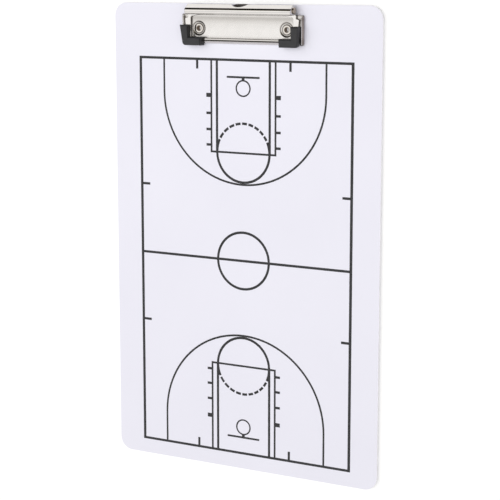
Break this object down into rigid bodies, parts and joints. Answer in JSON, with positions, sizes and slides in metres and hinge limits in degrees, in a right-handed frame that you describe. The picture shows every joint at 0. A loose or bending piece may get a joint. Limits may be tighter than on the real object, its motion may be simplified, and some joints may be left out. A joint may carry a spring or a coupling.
{
  "type": "basketball tactics board",
  "caption": "Flat double-sided coaching board printed with basketball court lines, with a low sprung metal clip on its top edge whose black-cornered jaw lifts to take paper.",
  "frame": {"origin": "under the middle of the board, at the level of the rivet tails on its back", "axes": "+X across the board, +Y up the board towards the clip, +Z out of the board's front face"},
  "size_m": [0.22, 0.35, 0.0132],
  "materials": {
    "board_plastic": "white polypropylene board, cut edge",
    "writing_film": "smooth white wipe-clean film",
    "court_ink": "dark charcoal printed line",
    "nickel_plate": "bright nickel plating on pressed steel",
    "black_vinyl": "satin black soft vinyl",
    "spring_steel": "plain spring wire"
  },
  "bodies": {
    "board": {"board_core": "board_plastic", "front_writing_sheet": "writing_film", "back_writing_sheet": "writing_film", "front_court_print": "court_ink", "back_court_print": "court_ink", "base_plate": "nickel_plate", "rivets": "nickel_plate", "hinge_pin": "nickel_plate", "spring_left": "spring_steel", "spring_right": "spring_steel"},
    "clamp": {"clamp_frame": "nickel_plate", "corner_grip_left": "black_vinyl", "corner_grip_right": "black_vinyl"}
  },
  "joints": [
    {"name": "clamp_hinge", "type": "hinge", "parent": "board", "child": "clamp", "pos_m": [0, 0.1707, 0.0075], "axis": [-1, 0, 0], "range_deg": [0, 40], "stiffness_Nm_per_rad": 0.3, "springref_deg": -40.11, "deforming": ["spring_left", "spring_right"]}
  ]
}
